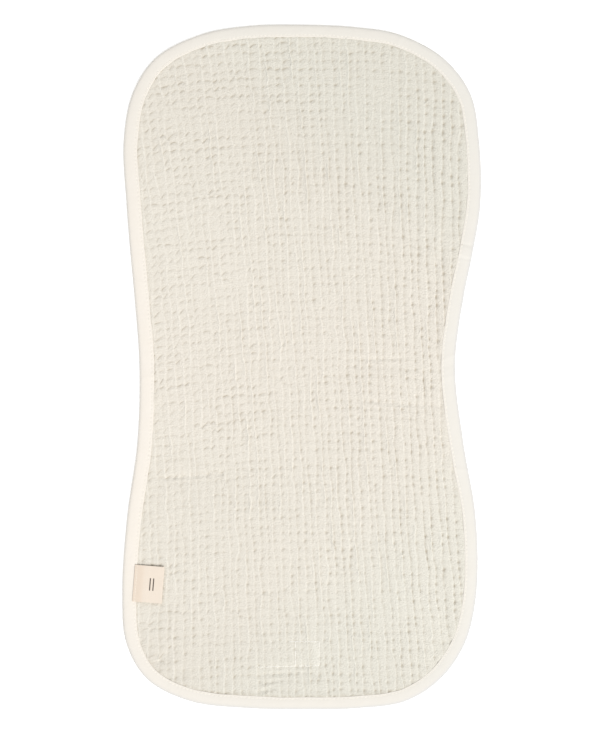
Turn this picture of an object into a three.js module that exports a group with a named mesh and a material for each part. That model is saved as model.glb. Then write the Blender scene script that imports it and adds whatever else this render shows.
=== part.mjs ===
// A burp cloth: an hourglass panel of crinkled cotton muslin, its raw edge bound all round with a folded
// cotton tape, and a small care label folded in two at the lower left. Millimetres, +Z up: the cloth lies face
// up on z = 0 with its head towards +Y, and its origin is under the middle.
import * as THREE from "three";

// The whole cloth. Pieces that touch on the real one keep a small clearance, and the edge has this many points.
const LENGTH = 500;
const WIDTH = 262;
const CLEARANCE = 0.3;
const STATIONS = 132;

// The outline, as the maker's pattern gives it: how far each side reaches at a height y, and where each end
// lies at a distance x from the middle. The waist is tighter on the right, and the foot is fuller on the left.
const SIDES = [
  { y: -244, left: -81.5, right: 76 },
  { y: -228, left: -112.5, right: 101 },
  { y: -202, left: -127.5, right: 119 },
  { y: -165, left: -130.5, right: 127.5 },
  { y: -110, left: -127, right: 127 },
  { y: -55, left: -119.5, right: 118 },
  { y: 0, left: -118, right: 112 },
  { y: 50, left: -121.5, right: 118 },
  { y: 82, left: -124.5, right: 124.5 },
  { y: 120, left: -127.5, right: 130.5 },
  { y: 165, left: -129.5, right: 129.5 },
  { y: 200, left: -123, right: 123 },
  { y: 226, left: -106, right: 103 },
  { y: 243, left: -73, right: 71 },
];
const ENDS = [
  { x: -38, head: 249.2, foot: -249.3 },
  { x: 5, head: 250, foot: -250 },
  { x: 42, head: 248, foot: -249.2 },
];

// The binding: a tape folded over the edge. It reaches in from the edge, and each leaf and the nose where it
// turns are solid cloth. A low ridge runs along its inner edge, where the tape is turned under and sewn.
const TAPE = { reach: 9.5, leaf: 0.6, nose: 1, roundness: 0.9, ridge: 0.1, ridgeAt: 0.5, ridgeEnd: 1.4 };

// The panel: thin where the tape presses it, full inside. The grooves and crests are heights above the floor.
const PANEL = { pressed: 1, groove: 2.05, crest: 2.7, lowest: 1.7, shoulder: 1.3 };

// The crinkle: upright ribs, closer in the middle of the cloth than at its sides. They lean, and fan out from
// the waist: each lean is in degrees, and its share grows with x and y measured in their own reach.
const RIBS = { pitch: 5.3, spread: 0.0006, most: 24, wander: 0.45, wave: 31, shift: 2.1 };
const LEAN = { mean: 3.25, across: -0.75, along: 0.75, fan: -3.25, reachX: 100, reachY: 175 };

// The courses of the crinkle cross the ribs in a flat arch that is nearly straight at the foot.
const COURSES = { step: 12.1, most: 22, crown: 20, bend: 0.0013, footBend: 0.0005, footAt: -200 };

// The face swells and sinks a little in long waves, each with its height and its reach along x and y, and the
// ribs are fuller in some places than in others.
const SWELLS = [
  { high: 0.09, alongX: 23, alongY: 61, shift: 0 },
  { high: 0.07, alongX: -90, alongY: 37, shift: 1 },
];
const FULLNESS = { mean: 0.8, high: 0.2, alongX: 41, alongY: -53, shift: 0 };

// The main creases, as soft troughs: the middle of each, its direction in degrees from +X, and its size.
const CREASES = [
  { x: 93, y: 140, angle: 91, long: 120, wide: 3, deep: 0.6 },
  { x: 82, y: 118, angle: 92, long: 80, wide: 3, deep: 0.5 },
  { x: 104, y: 95, angle: 78, long: 70, wide: 3, deep: 0.5 },
  { x: 56, y: 2, angle: -2, long: 46, wide: 6, deep: 0.5 },
  { x: 84, y: -28, angle: -5, long: 60, wide: 6, deep: 0.4 },
  { x: -82, y: -81, angle: 4, long: 70, wide: 6, deep: 0.4 },
  { x: 26, y: -155, angle: 101, long: 36, wide: 3, deep: 0.5 },
  { x: 60, y: -156, angle: 98, long: 36, wide: 3, deep: 0.5 },
  { x: 101, y: -166, angle: 99, long: 76, wide: 3, deep: 0.6 },
  { x: -103, y: -214, angle: 36, long: 26, wide: 5, deep: 0.6 },
  { x: -92, y: -225, angle: 33, long: 22, wide: 5, deep: 0.5 },
  { x: -8, y: -224, angle: 4, long: 56, wide: 5, deep: 0.5 },
];

// The care label: a tape folded in two, with the fold on the right. Its left end lies on the binding.
const LABEL = { x: -111.9, y: -158.4, width: 21.4, height: 26.8, turn: -4.5, layer: 0.4, bow: 0.25, steps: 6 };

const FINISHES = {
  muslin: { color: 0xe8e3d6, roughness: 0.92 },
  tape: { color: 0xf5f0e6, roughness: 0.85 },
  label: { color: 0xf4e7d7, roughness: 0.75 },
};

// Heights that follow from the sizes above.
const PRESSED_BOTTOM = TAPE.leaf + CLEARANCE;
const PRESSED_TOP = PRESSED_BOTTOM + PANEL.pressed;
const UPPER_LEAF = PRESSED_TOP + CLEARANCE;
const TAPE_TOP = UPPER_LEAF + TAPE.leaf;
const LABEL_BOTTOM = TAPE_TOP + TAPE.ridge + CLEARANCE;

// How often the search for a rib's end halves its step, which brings it within a hundredth of a millimetre.
const HALVINGS = 12;

const radians = THREE.MathUtils.degToRad;
const smooth = THREE.MathUtils.smoothstep;

// Points and triangles of one closed surface.
class Surface {
  points = [];
  triangles = [];

  // Adds a loop of plan points at one height, and returns the index of its first point.
  loop(plan, height) {
    const first = this.points.length;
    plan.forEach(({ x, y }) => this.points.push([x, y, height]));
    return first;
  }

  // Joins two loops of the same length. The faces point outwards when the section goes out over the top, down
  // the outside and back in underneath.
  band(from, to, count) {
    for (let k = 0; k < count; k++) {
      const next = (k + 1) % count;
      this.triangles.push([from + k, to + k, from + next], [from + next, to + k, to + next]);
    }
  }

  geometry() {
    const geometry = new THREE.BufferGeometry();
    geometry.setAttribute("position", new THREE.Float32BufferAttribute(this.points.flat(), 3));
    geometry.setIndex(this.triangles.flat());
    geometry.computeVertexNormals();
    return geometry;
  }
}

// The edge of the cloth seen from above, anticlockwise, as evenly spaced points.
function outline() {
  const right = SIDES.map((row) => new THREE.Vector3(row.right, row.y, 0));
  const head = ENDS.map((row) => new THREE.Vector3(row.x, row.head, 0)).reverse();
  const left = SIDES.map((row) => new THREE.Vector3(row.left, row.y, 0)).reverse();
  const foot = ENDS.map((row) => new THREE.Vector3(row.x, row.foot, 0));
  const curve = new THREE.CatmullRomCurve3([...right, ...head, ...left, ...foot], true, "centripetal");
  const spaced = curve.getSpacedPoints(STATIONS).slice(0, STATIONS);
  const box = new THREE.Box3().setFromPoints(spaced);
  const middle = box.getCenter(new THREE.Vector3());
  const size = box.getSize(new THREE.Vector3());
  return spaced.map(
    (p) => new THREE.Vector2(((p.x - middle.x) * WIDTH) / size.x, ((p.y - middle.y) * LENGTH) / size.y),
  );
}

// The outline moved in by a distance, square to the edge.
function inset(edge, distance) {
  return edge.map((p, k) => {
    const before = edge[(k + edge.length - 1) % edge.length];
    const after = edge[(k + 1) % edge.length];
    const along = after.clone().sub(before).normalize();
    return new THREE.Vector2(p.x - along.y * distance, p.y + along.x * distance);
  });
}

// Whether a plan point lies inside a closed loop, by counting the sides to its right.
function isInside(point, loop) {
  let inside = false;
  loop.forEach((a, k) => {
    const b = loop[(k + 1) % loop.length];
    const crosses = a.y > point.y !== b.y > point.y;
    if (crosses && point.x < a.x + ((point.y - a.y) * (b.x - a.x)) / (b.y - a.y)) inside = !inside;
  });
  return inside;
}

// The plan place where a rib, counted from the middle, meets a course, counted from the waist.
function crossing(rib, course) {
  const start = RIBS.pitch * rib + RIBS.spread * rib ** 3;
  const level = course * COURSES.step;
  const bend = THREE.MathUtils.lerp(COURSES.footBend, COURSES.bend, smooth(level, COURSES.footAt, 0));
  const y = level - (bend * (start - COURSES.crown) ** 2) / 2;
  const across = start / LEAN.reachX;
  const halfAlong = y / LEAN.reachY / 2;
  const turned = LEAN.mean + LEAN.across * across + (LEAN.along + LEAN.fan * across) * halfAlong;
  const x = start - radians(turned) * y + RIBS.wander * Math.sin(y / RIBS.wave + RIBS.shift * rib);
  return new THREE.Vector2(x, y);
}

// How deep the main creases are at a place.
function creaseDepth(x, y) {
  return CREASES.reduce((sum, crease) => {
    const angle = radians(crease.angle);
    const along = (x - crease.x) * Math.cos(angle) + (y - crease.y) * Math.sin(angle);
    const across = (y - crease.y) * Math.cos(angle) - (x - crease.x) * Math.sin(angle);
    const taper = Math.exp(-(((2 * along) / crease.long) ** 4));
    return sum + crease.deep * taper * Math.exp(-((across / crease.wide) ** 2));
  }, 0);
}

// A long wave over the cloth.
function wave(x, y, { high, alongX, alongY, shift }) {
  return high * Math.sin(x / alongX + y / alongY + shift);
}

// The height of the panel's face on a crest, where share is 1, or in a groove, where it is 0.
function faceHeight({ x, y }, share) {
  const swell = SWELLS.reduce((sum, one) => sum + wave(x, y, one), 0);
  const fullness = FULLNESS.mean + wave(x, y, FULLNESS);
  const rib = PANEL.groove + (PANEL.crest - PANEL.groove) * share * fullness;
  return Math.max(PANEL.lowest, rib + swell - creaseDepth(x, y));
}

// The panel: a pressed strip inside the tape, and a face of ribs inside that, over a flat underside.
function panel(edge) {
  const surface = new Surface();
  const rim = inset(edge, TAPE.reach + CLEARANCE);
  const strip = inset(edge, TAPE.nose + CLEARANCE);
  const sections = [
    surface.loop(rim, PRESSED_TOP),
    surface.loop(strip, PRESSED_TOP),
    surface.loop(strip, PRESSED_BOTTOM),
    surface.loop(rim, PRESSED_BOTTOM),
    surface.loop(rim, 0),
  ];
  sections.slice(1).forEach((to, k) => surface.band(sections[k], to, STATIONS));

  const underside = THREE.ShapeUtils.triangulateShape(rim, []);
  underside.forEach((face) => addFacing(surface, face.map((k) => sections[4] + k), -1));

  const grid = ribGrid(surface, inset(edge, TAPE.reach + CLEARANCE + PANEL.shoulder));
  const hole = grid.map((k) => new THREE.Vector2(surface.points[k][0], surface.points[k][1]));
  const shoulder = THREE.ShapeUtils.triangulateShape(rim, [hole]);
  const joined = [...rim.map((_, k) => sections[0] + k), ...grid];
  shoulder.forEach((face) => addFacing(surface, face.map((k) => joined[k]), 1));
  return surface.geometry();
}

// Adds a triangle so that its face looks up, where way is 1, or down, where it is -1.
function addFacing(surface, [a, b, c], way) {
  const [p, q, r] = [a, b, c].map((k) => surface.points[k]);
  const turn = (q[0] - p[0]) * (r[1] - p[1]) - (q[1] - p[1]) * (r[0] - p[0]);
  surface.triangles.push(turn * way > 0 ? [a, b, c] : [a, c, b]);
}

// The ribbed middle of the panel's face, out to a limit. Every second line of points is a crest. A line that
// leaves the limit between two courses ends on it, so that the ribs run right up to the tape. It returns the
// loop of points around it, clockwise, which the shoulder joins to the rim.
function ribGrid(surface, limit) {
  const fits = (i, j) => isInside(crossing(i / 2, j), limit);
  const index = new Map();
  const pointAt = (i, j) => {
    const key = i + ":" + j;
    if (!index.has(key)) index.set(key, addCrossing(surface, i, ribEnd(i, j, fits)));
    return index.get(key);
  };
  const outer = new Map();
  for (let j = -COURSES.most; j < COURSES.most; j++) {
    for (let i = -2 * RIBS.most; i < 2 * RIBS.most; i++) {
      const corners = [[i, j], [i + 1, j], [i + 1, j + 1], [i, j + 1]].map(([m, n]) => pointAt(m, n));
      if (corners.includes(null)) continue;
      const [a, b, c, d] = corners;
      surface.triangles.push([a, b, c], [a, c, d]);
      [[a, b], [b, c], [c, d], [d, a]].forEach(([from, to]) => {
        if (!outer.delete(to + ">" + from)) outer.set(from + ">" + to, [from, to]);
      });
    }
  }
  const next = new Map([...outer.values()].map(([from, to]) => [to, from]));
  const loop = [];
  for (let k = next.keys().next().value; loop[0] !== k; k = next.get(k)) loop.push(k);
  return loop;
}

// Where half-rib i is at course j: the course itself where it fits, the place where the rib meets the limit
// where only one of its neighbours along the rib fits, and null anywhere else.
function ribEnd(i, j, fits) {
  if (fits(i, j)) return j;
  const below = fits(i, j - 1);
  if (below === fits(i, j + 1)) return null;
  let inside = below ? j - 1 : j + 1;
  let outside = j;
  for (let halving = 0; halving < HALVINGS; halving++) {
    const middle = (inside + outside) / 2;
    if (fits(i, middle)) inside = middle;
    else outside = middle;
  }
  return inside;
}

// Adds the point of half-rib i at a course, and returns its index, or null where there is no course.
function addCrossing(surface, i, course) {
  if (course === null) return null;
  const place = crossing(i / 2, course);
  surface.points.push([place.x, place.y, faceHeight(place, i % 2 === 0 ? 1 : 0)]);
  return surface.points.length - 1;
}

// The binding's section, from the inner edge of the upper leaf out over the top, round the nose, back in
// underneath, and along the channel that the panel's edge lies in. Each point is how far in from the edge it
// lies, and its height.
function tapeSection() {
  const middle = TAPE_TOP / 2;
  const nose = [90, 45, 0, -45, -90].map(radians).map((angle) => ({
    inward: TAPE.roundness * (1 - Math.cos(angle)),
    height: middle * (1 + Math.sin(angle)),
  }));
  return [
    { inward: TAPE.reach, height: TAPE_TOP - TAPE.ridge },
    { inward: TAPE.reach - TAPE.ridgeAt, height: TAPE_TOP + TAPE.ridge },
    { inward: TAPE.reach - TAPE.ridgeEnd, height: TAPE_TOP },
    ...nose,
    { inward: TAPE.reach, height: 0 },
    { inward: TAPE.reach, height: TAPE.leaf },
    { inward: TAPE.nose, height: TAPE.leaf },
    { inward: TAPE.nose, height: UPPER_LEAF },
    { inward: TAPE.reach, height: UPPER_LEAF },
  ];
}

// The binding: its section carried all the way round the edge.
function binding(edge) {
  const surface = new Surface();
  const loops = tapeSection().map(({ inward, height }) => surface.loop(inset(edge, inward), height));
  loops.forEach((from, k) => surface.band(from, loops[(k + 1) % loops.length], STATIONS));
  return surface.geometry();
}

// The care label: two layers joined by the fold, drawn as a section and carried down the label's height, then
// bowed so that its middle stands a little proud of its ends.
function careLabel() {
  const { width, height, layer, bow, steps } = LABEL;
  const outer = layer + CLEARANCE / 2;
  const inner = CLEARANCE / 2;
  const fold = width / 2 - outer;
  const start = -width / 2;
  const section = new THREE.Shape();
  section.moveTo(start, 0);
  section.lineTo(fold, 0);
  section.absarc(fold, outer, outer, -Math.PI / 2, Math.PI / 2, false);
  section.lineTo(start, 2 * outer);
  section.lineTo(start, layer + CLEARANCE);
  section.lineTo(fold, layer + CLEARANCE);
  section.absarc(fold, outer, inner, Math.PI / 2, -Math.PI / 2, true);
  section.lineTo(start, layer);
  const options = { depth: height, steps, curveSegments: 4, bevelEnabled: false };
  const geometry = new THREE.ExtrudeGeometry(section, options);
  geometry.rotateX(Math.PI / 2).translate(0, height / 2, 0);
  const place = geometry.getAttribute("position");
  for (let k = 0; k < place.count; k++) {
    const along = (2 * place.getY(k)) / height;
    place.setZ(k, place.getZ(k) + bow * (1 - along ** 2));
  }
  return geometry;
}

// A named piece with its finish.
function piece(name, geometry, { color, roughness }) {
  const mesh = new THREE.Mesh(geometry, new THREE.MeshStandardMaterial({ color, roughness, metalness: 0 }));
  mesh.name = name;
  return mesh;
}

const edge = outline();
const label = piece("care_label", careLabel(), FINISHES.label);
label.position.set(LABEL.x, LABEL.y, LABEL_BOTTOM);
label.rotation.z = radians(LABEL.turn);

const burpCloth = new THREE.Group();
burpCloth.name = "burp_cloth";
burpCloth.add(piece("muslin_panel", panel(edge), FINISHES.muslin));
burpCloth.add(piece("edge_binding", binding(edge), FINISHES.tape));
burpCloth.add(label);

export default burpCloth;
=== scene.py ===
# %% [markdown]
# # A burp cloth: crinkled muslin, a bound edge and a small label
#
# A burp cloth is an hourglass of soft cotton muslin that lies over a shoulder. This lesson dresses its packed
# CAD model: the panel becomes two crinkled plies, the binding becomes one folded tape, and the label becomes a
# folded strip. The frame comes first, because it fixes where every piece has to lie.

# %% Load the imported frame
import math

import bpy
import numpy as np
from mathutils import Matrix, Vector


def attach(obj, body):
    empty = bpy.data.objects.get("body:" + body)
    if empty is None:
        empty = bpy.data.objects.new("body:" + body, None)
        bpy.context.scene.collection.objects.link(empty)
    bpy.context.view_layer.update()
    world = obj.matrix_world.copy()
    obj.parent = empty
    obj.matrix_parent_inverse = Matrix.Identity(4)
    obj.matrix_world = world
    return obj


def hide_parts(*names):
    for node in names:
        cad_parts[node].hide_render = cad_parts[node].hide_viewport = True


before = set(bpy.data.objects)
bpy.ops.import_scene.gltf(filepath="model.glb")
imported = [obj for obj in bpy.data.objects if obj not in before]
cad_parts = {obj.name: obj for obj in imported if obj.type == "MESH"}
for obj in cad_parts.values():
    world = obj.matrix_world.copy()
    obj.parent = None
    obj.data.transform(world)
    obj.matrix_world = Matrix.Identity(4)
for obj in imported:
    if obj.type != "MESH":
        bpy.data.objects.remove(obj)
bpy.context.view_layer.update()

MM = 0.001
print("CAD nodes:", sorted(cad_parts))

# %% [markdown]
# ## The camera
#
# The photograph looks straight down on the cloth. A long lens from about a metre and a half does the same with
# hardly any perspective. The picture is taller than it is wide, so Blender gives the sensor's width to its
# long side, and the height above the cloth follows from how many millimetres the picture holds from top to
# bottom.

# %% Set the camera over the cloth
LENS = 100.0
SENSOR = 36.0
PICTURE_TALL = 547.4
CAMERA_OVER = (-1.35, -5.85)
CLOTH_LEVEL = 2.0

camera_height = PICTURE_TALL * LENS / SENSOR + CLOTH_LEVEL
lens = bpy.data.cameras.new("camera")
lens.lens = LENS
lens.sensor_width = SENSOR
lens.clip_start = 0.05
lens.clip_end = 30.0
camera = bpy.data.objects.new("camera", lens)
camera.location = (CAMERA_OVER[0] * MM, CAMERA_OVER[1] * MM, camera_height * MM)
bpy.context.scene.collection.objects.link(camera)
bpy.context.scene.camera = camera
print("camera stands", round(camera_height), "mm above the surface")

# %% [markdown]
# ## Three helpers for materials
#
# A colour picked from a screen is in sRGB, while a shader works in linear light, so one function converts it.
# Another adds a node, sets what it is told and links what it is given, and a third starts a material with its
# shader. Every material below is built with these three, so each of its lines says what the real surface has
# rather than how Blender stores it.

# %% Colours and nodes
def linear(code):
    """A six-digit sRGB colour as linear red, green, blue and alpha. A channel c from 0 to 1 becomes c / 12.92
    where it is at most 0.04045, and ((c + 0.055) / 1.055) to the power 2.4 above that."""
    c = np.array([int(code[k:k + 2], 16) for k in (0, 2, 4)]) / 255
    light = np.where(c <= 0.04045, c / 12.92, ((c + 0.055) / 1.055) ** 2.4)
    return (*light.tolist(), 1.0)


def add_node(tree, kind, inputs=None, **settings):
    """Adds a node to a tree. The settings are its own properties. Each input, by name or number, is linked
    where it is another node's output, and is set as a plain value otherwise."""
    made = tree.nodes.new("ShaderNode" + kind)
    for name, value in settings.items():
        setattr(made, name, value)
    for socket, value in (inputs or {}).items():
        if isinstance(value, bpy.types.NodeSocket):
            tree.links.new(value, made.inputs[socket])
        else:
            made.inputs[socket].default_value = value
    return made


def new_finish(name, **sockets):
    """A material with one Principled shader, whose sockets are set here or linked later."""
    made = bpy.data.materials.new(name)
    made.use_nodes = True
    shader = made.node_tree.nodes["Principled BSDF"]
    for socket, value in sockets.items():
        shader.inputs[socket.replace("_", " ")].default_value = value
    return made, made.node_tree, shader


# %% [markdown]
# ## The studio
#
# The photograph has a plain white ground and soft light from above, a little from the foot and the right, so
# that the label's upper edge and the cloth's left edge throw thin shadows. One large softbox gives the
# direction, eight metres away so that it lights head and foot alike, and a pale world fills the hollows. The
# floor is a plain matt white sheet just under the cloth, and glows a little, as a light table does, so that the
# ground stays white and the cloth's own shadow on it is thin.
# The Standard view keeps the cloth's pale cream as it is, where a film-like view would grey it.

# %% Light the studio
SOFTBOX = {"at": (3.0, -4.0, 6.3), "size": 3.2, "watts": 440.0}
TABLE_GLOW = 0.25
FILL = 0.62

scene = bpy.context.scene
scene.view_settings.view_transform = "Standard"
scene.view_settings.look = "None"

world = bpy.data.worlds.new("studio")
world.use_nodes = True
world.node_tree.nodes["Background"].inputs["Color"].default_value = linear("fefefe")
world.node_tree.nodes["Background"].inputs["Strength"].default_value = FILL
scene.world = world

softbox = bpy.data.lights.new("softbox", "AREA")
softbox.shape = "SQUARE"
softbox.size = SOFTBOX["size"]
softbox.energy = SOFTBOX["watts"]
softbox.color = linear("fffdfa")[:3]
softbox_stand = bpy.data.objects.new("softbox", softbox)
softbox_stand.location = SOFTBOX["at"]
softbox_stand.rotation_euler = (-Vector(SOFTBOX["at"])).to_track_quat("-Z", "Y").to_euler()
scene.collection.objects.link(softbox_stand)

# %% Lay the floor
FLOOR_HALF = 4.0
FLOOR_GAP = 0.05

floor_finish, _, _ = new_finish("matt_white_floor", Base_Color=linear("ffffff"), Roughness=0.9,
                                 Emission_Color=linear("ffffff"), Emission_Strength=TABLE_GLOW)
floor_mesh = bpy.data.meshes.new("floor")
corners = ((-1, -1), (1, -1), (1, 1), (-1, 1))
floor_points = [(x * FLOOR_HALF, y * FLOOR_HALF, -FLOOR_GAP * MM) for x, y in corners]
floor_mesh.from_pydata(floor_points, [], [(0, 1, 2, 3)])
floor_mesh.materials.append(floor_finish)
floor = bpy.data.objects.new("floor", floor_mesh)
scene.collection.objects.link(floor)
print("floor lies", FLOOR_GAP, "mm under the cloth")

# %% [markdown]
# ## The outline
#
# The cloth is cut to an hourglass: wide over the shoulder and the chest, narrow at the waist. A pattern maker
# would note how far each side reaches at a few heights and draw one smooth line through those points, and so
# does this cell. A centripetal Catmull-Rom curve goes through every point without loops or flat spots. The
# line is then walked in even steps, because the binding and its stitches are laid out along it.

# %% Draw the outline
WIDTH = 262.0
LENGTH = 500.0
STATIONS = 1392
STEPS_PER_SPAN = 60

# height, reach of the left side, reach of the right side
SIDES = np.array([
    (-244, -81.5, 76), (-228, -112.5, 101), (-202, -127.5, 119), (-165, -130.5, 127.5),
    (-110, -127, 127), (-55, -119.5, 118), (0, -118, 112), (50, -121.5, 118), (82, -124.5, 124.5),
    (120, -127.5, 130.5), (165, -129.5, 129.5), (200, -123, 123), (226, -106, 103), (243, -73, 71)], float)
# distance across, reach of the head, reach of the foot
ENDS = np.array([(-38, 249.2, -249.3), (5, 250, -250), (42, 248, -249.2)], float)


def closed_curve(points, per_span):
    """A closed centripetal Catmull-Rom curve. Between two points it is the cubic that starts and ends on them
    with slopes taken from the points on either side, where each gap counts as the square root of its length."""
    p0, p1, p2, p3 = (np.roll(points, turn, axis=0)[:, None, :] for turn in (1, 0, -1, -2))
    gap0, gap1, gap2 = (np.sqrt(np.linalg.norm(b - a, axis=2, keepdims=True)) for a, b in
                        ((p0, p1), (p1, p2), (p2, p3)))
    slope1 = gap1 * ((p1 - p0) / gap0 - (p2 - p0) / (gap0 + gap1) + (p2 - p1) / gap1)
    slope2 = gap1 * ((p2 - p1) / gap1 - (p3 - p1) / (gap1 + gap2) + (p3 - p2) / gap2)
    t = np.linspace(0, 1, per_span, endpoint=False)[None, :, None]
    square = 3 * (p2 - p1) - 2 * slope1 - slope2
    cube = 2 * (p1 - p2) + slope1 + slope2
    return (p1 + slope1 * t + square * t ** 2 + cube * t ** 3).reshape(-1, 2)


def walked_along(line):
    """How far each point of a line lies from its start, walked from point to point."""
    return np.concatenate([[0], np.cumsum(np.linalg.norm(np.diff(line, axis=0), axis=1))])


def even_steps(curve, count):
    """The same closed line as evenly spaced points: each lies where the length walked so far is its share."""
    ring = np.vstack([curve, curve[:1]])
    walked = walked_along(ring)
    wanted = np.linspace(0, walked[-1], count, endpoint=False)
    return np.column_stack([np.interp(wanted, walked, ring[:, k]) for k in (0, 1)]), walked[-1]


pattern = np.vstack([SIDES[:, [2, 0]], ENDS[::-1][:, [0, 1]], SIDES[::-1][:, [1, 0]], ENDS[:, [0, 2]]])
rough = closed_curve(pattern, STEPS_PER_SPAN)
low, high = rough.min(axis=0), rough.max(axis=0)
edge, girth = even_steps((rough - (low + high) / 2) * (WIDTH, LENGTH) / (high - low), STATIONS)
forward = np.roll(edge, -1, axis=0) - np.roll(edge, 1, axis=0)
forward /= np.linalg.norm(forward, axis=1, keepdims=True)
inward = np.column_stack([-forward[:, 1], forward[:, 0]])
step = girth / STATIONS
print("the edge is", round(girth), "mm round, walked in steps of", round(step, 3), "mm")

# %% [markdown]
# ## How far in a point lies
#
# Near its edge the panel has to sink under the tape, so every point of it needs to know how far in it lies.
# The nearest station gives that: the step from it to the point, measured square to the edge. Squared distances
# come from one matrix product per batch, which is much faster than comparing points one at a time.

# %% Measure from the edge
BATCH = 8000


def nearest(points, targets):
    """For each point, the number of the nearest target: where |target|^2 - 2 point . target is least."""
    size = (targets ** 2).sum(axis=1)
    starts = range(0, len(points), BATCH)
    return np.concatenate([(size - 2 * points[k:k + BATCH] @ targets.T).argmin(axis=1) for k in starts])


def depth_in(points):
    """How far in from the edge each point lies, in millimetres, and its nearest station."""
    station = nearest(points, edge)
    return ((points - edge[station]) * inward[station]).sum(axis=1), station


# %% [markdown]
# ## The lie of the crinkle
#
# Crinkled muslin is woven as several thin gauzes joined at small points. Washing shrinks it, and the cloth
# rises into ribs down its length, pinched at each row of joining points. On this cloth the ribs are closer in
# the middle, lean a few degrees and fan out below the waist, and the rows cross them in a flat arch. Ribs and
# rows are counted from the middle, and one function says where each pair meets. It is the same warp that the
# solids use, so the picture and the solids agree.

# %% Where ribs and rows meet
RIB = {"pitch": 5.3, "spread": 0.0006, "wander": 0.45, "wave": 31.0, "shift": 2.1}
ROW = {"pitch": 6.05, "crown": 20.0, "bend": 0.0013, "foot_bend": 0.0005, "foot_at": -200.0}
LEAN = {"mean": 3.25, "across": -0.75, "along": 0.75, "fan": -3.25, "reach_x": 100.0, "reach_y": 175.0}


def smoothstep(value, start, end):
    """0 before start, 1 after end, and the cubic 3t^2 - 2t^3 between."""
    t = np.clip((value - start) / (end - start), 0, 1)
    return t * t * (3 - 2 * t)


def meet(rib, row):
    """Where a rib meets a row, in millimetres. The rib starts at pitch * rib + spread * rib^3. The row sags by
    bend / 2 times the squared distance from its crown. The rib then leans by an angle that grows with x and y,
    and wanders in a slow sine."""
    start = RIB["pitch"] * rib + RIB["spread"] * rib ** 3
    level = ROW["pitch"] * row
    share = smoothstep(level, ROW["foot_at"], 0)
    bend = ROW["foot_bend"] + (ROW["bend"] - ROW["foot_bend"]) * share
    y = level - bend * (start - ROW["crown"]) ** 2 / 2
    across = start / LEAN["reach_x"]
    half_along = y / LEAN["reach_y"] / 2
    lean = LEAN["mean"] + LEAN["across"] * across + (LEAN["along"] + LEAN["fan"] * across) * half_along
    x = start - np.radians(lean) * y + RIB["wander"] * np.sin(y / RIB["wave"] + RIB["shift"] * rib)
    return x, y


# %% [markdown]
# ## No two cells alike
#
# Between two ribs and two rows lies one small cell of crinkle. In a real cloth every cell differs from its
# neighbours, while larger patches of it are rougher or calmer. Both come from one function, which reads a
# seeded table of numbers: a new number for each cell, held over most of it, or a slow one that spans several.
# With it every rib wobbles, every row jumps up or down a little, and the rows break into short strokes that
# rise to the right. The wobble moves the mesh itself, so its fine lines always lie on the ridges and grooves.

# %% Make every cell a little different
TABLE = 160
GROOVE_AT = 0.2
DASH_AT = 0.46
WOBBLE = {"slow": 0.2, "quick": 0.1, "jump": 0.18, "right_less": 0.3}
STROKE = {"slant": 0.52, "half": 0.36, "right_less": 0.5}
RIBBED = {"across": (-110, 105), "head": (150, 235), "head_less": 0.5, "foot": (30, 150), "foot_more": 0.5,
          "corner_down": (150, 175), "corner_out": (-108, -85), "corner_less": 0.9}
# the part of a pitch over which the number of one cell blends into the next one's
BLEND = {"rib": (0.42, 0.92), "row": (0.55, 1.0), "row_shift": 0.3}
# a seed for each thing that varies
SEED = {"ridge": 11, "groove": 12, "patch": 13, "dimple": 14, "pinch": 15, "slow wobble": 16,
        "quick wobble": 17, "jump": 18, "slant": 19, "gathers": 21, "ridge in a cell": 22, "pillow": 23,
        "dimple width": 24, "groove in a cell": 25, "tape height": 31, "tape reach": 32}


def uneven(what, rib, row, ribs=1, rows=1):
    """Numbers from 0 to 1 for one thing that varies, with a new one every so many ribs and rows. A number
    for each single rib or row is held over it and blended into the next one between them, and a slower one
    changes all the way."""
    table = np.random.default_rng(SEED[what]).random((TABLE, TABLE))
    u = rib / ribs + TABLE / 2
    v = (row + BLEND["row_shift"]) / rows + TABLE / 2
    i, j = np.floor(u).astype(int), np.floor(v).astype(int)
    s = smoothstep(u - i, *(BLEND["rib"] if ribs == 1 else (0, 1)))
    t = smoothstep(v - j, *(BLEND["row"] if rows == 1 else (0, 1)))
    this_row = table[i, j] * (1 - s) + table[i + 1, j] * s
    next_row = table[i, j + 1] * (1 - s) + table[i + 1, j + 1] * s
    return this_row * (1 - t) + next_row * t


def round_uneven(what, station, waves):
    """Numbers from 0 to 1 that change smoothly all the way round the edge and meet where they began: `waves`
    values in a ring, with a cubic blend between."""
    table = np.random.default_rng(SEED[what]).random(waves)
    place = station / STATIONS * waves
    first = np.floor(place).astype(int)
    share = smoothstep(place - first, 0, 1)
    return table[first % waves] * (1 - share) + table[(first + 1) % waves] * share


def from_nearest(value):
    """How far a number is from the nearest whole number, from -0.5 to 0.5."""
    return value - np.round(value)


def ribbed(x, y):
    """From 0 at the upper left and in the corner at the lower left, where the rows' strokes show most, to 1 at
    the right, where the ribs do. It fades between the millimetres that RIBBED gives."""
    right = smoothstep(x, *RIBBED["across"]) * (1 - RIBBED["head_less"] * smoothstep(y, *RIBBED["head"]))
    corner = smoothstep(-y, *RIBBED["corner_down"]) * (1 - smoothstep(x, *RIBBED["corner_out"]))
    more = RIBBED["foot_more"] * smoothstep(-y, *RIBBED["foot"]) * (1 - right)
    return right + more * (1 - RIBBED["corner_less"] * corner)


def from_dimple(rib, side):
    """How far a place is from the nearest dimple across the ribs. The dimples lie in the grooves where side is
    1, and are dashes half way between two ridges where it is 0."""
    return from_nearest(rib - (DASH_AT + (GROOVE_AT - DASH_AT) * side))


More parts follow.
